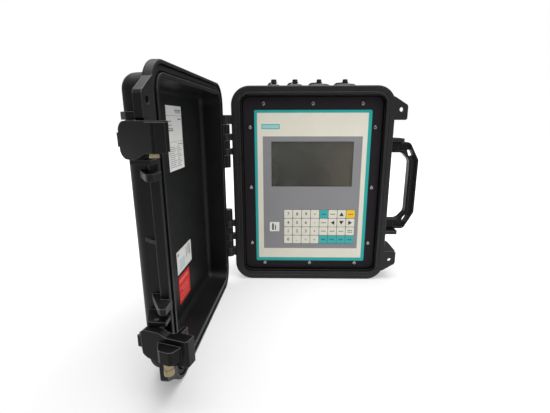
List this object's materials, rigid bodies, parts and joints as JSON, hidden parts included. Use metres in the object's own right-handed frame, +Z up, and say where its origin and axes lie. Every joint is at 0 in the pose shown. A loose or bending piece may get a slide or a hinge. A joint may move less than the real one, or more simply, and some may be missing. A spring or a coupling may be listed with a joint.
{
  "type": "portable clamp-on flow meter",
  "caption": "Portable clamp-on ultrasonic flow meter built into a rugged latched carrying case, with a recessed keypad and display panel and capped sockets.",
  "frame": {"origin": "middle of the flat bottom of the base's rim, on which the standing case rests", "axes": "+X to the right along the panel from hinge to handle, +Y from the panel to the back of the base, +Z up"},
  "size_m": [0.3749, 0.4138, 0.3434],
  "materials": {
    "case_black": "textured moulded plastic",
    "panel_dark": "dark powder coat",
    "steel": "bright plated",
    "brass": "turned",
    "rubber": "soft seal",
    "overlay": "printed polyester film",
    "film": "flexible film",
    "window": "clear",
    "lcd": "display glass",
    "metal_plain": "plain",
    "board": "solder mask",
    "chip": "moulded",
    "battery": "shrink sleeve",
    "label_white": "matte label",
    "label_red": "matte label"
  },
  "bodies": {
    "base": {"base_shell": "case_black", "panel_frame": "case_black", "frame_screws": "steel", "panel_plate": "panel_dark", "panel_gasket": "rubber", "panel_inserts": "brass", "panel_screws": "steel", "keypad_overlay": "overlay", "switch_layer": "film", "display_window": "window", "lcd_module": "steel", "lcd_glass": "lcd", "main_board": "board", "board_components": "chip", "board_standoffs": "steel", "board_screws": "steel", "battery_pack": "battery", "battery_strap": "steel", "connector_1": "metal_plain", "connector_2": "metal_plain", "connector_3": "metal_plain", "connector_4": "metal_plain", "connector_seals": "rubber", "connector_nuts": "steel", "cap_tethers": "case_black", "tether_screws": "steel", "hinge_pins": "steel", "handle_pins": "steel"},
    "lid": {"lid_shell": "case_black", "lid_gasket": "rubber", "lid_label_large": "label_white", "lid_label_small": "label_white", "lid_label_red": "label_red", "latch_pins": "steel"},
    "latch_upper": {"latch_upper": "case_black", "lock_barrel_upper": "brass"},
    "latch_lower": {"latch_lower": "case_black", "lock_barrel_lower": "brass"},
    "lock_plug_upper": {"lock_plug_upper": "brass"},
    "lock_plug_lower": {"lock_plug_lower": "brass"},
    "handle": {"handle": "case_black"},
    "cap_1": {"cap_1": "case_black"},
    "cap_2": {"cap_2": "case_black"},
    "cap_3": {"cap_3": "case_black"},
    "cap_4": {"cap_4": "case_black"}
  },
  "joints": [
    {"name": "lid_hinge", "type": "hinge", "parent": "base", "child": "lid", "pos_m": [-0.141, -0.0055, 0.165], "axis": [0, 0, -1], "range_deg": [-93.18, 15]},
    {"name": "latch_upper_pivot", "type": "hinge", "parent": "lid", "child": "latch_upper", "pos_m": [-0.16846, -0.28341, 0.262], "axis": [0, 0, -1], "range_deg": [-31, 34]},
    {"name": "latch_lower_pivot", "type": "hinge", "parent": "lid", "child": "latch_lower", "pos_m": [-0.16846, -0.28341, 0.068], "axis": [0, 0, -1], "range_deg": [-14.5, 50]},
    {"name": "lock_upper_turn", "type": "hinge", "parent": "latch_upper", "child": "lock_plug_upper", "pos_m": [-0.14758, -0.30677, 0.245], "axis": [0, 0, -1], "range_deg": [0, 90]},
    {"name": "lock_lower_turn", "type": "hinge", "parent": "latch_lower", "child": "lock_plug_lower", "pos_m": [-0.15147, -0.3075, 0.053], "axis": [0, 0, -1], "range_deg": [0, 90]},
    {"name": "handle_pivot", "type": "hinge", "parent": "base", "child": "handle", "pos_m": [0.138, 0.0235, 0.165], "axis": [0, 0, -1], "range_deg": [-90, 0]},
    {"name": "cap_1_turn", "type": "hinge", "parent": "base", "child": "cap_1", "pos_m": [-0.0635, 0.0395, 0.33], "axis": [0, 0, 1], "range_deg": [0, 360]},
    {"name": "cap_2_turn", "type": "hinge", "parent": "base", "child": "cap_2", "pos_m": [-0.0277, 0.0395, 0.33], "axis": [0, 0, 1], "range_deg": [0, 360]},
    {"name": "cap_3_turn", "type": "hinge", "parent": "base", "child": "cap_3", "pos_m": [0.0127, 0.0395, 0.33], "axis": [0, 0, 1], "range_deg": [0, 360]},
    {"name": "cap_4_turn", "type": "hinge", "parent": "base", "child": "cap_4", "pos_m": [0.0565, 0.0395, 0.33], "axis": [0, 0, 1], "range_deg": [0, 360]}
  ]
}
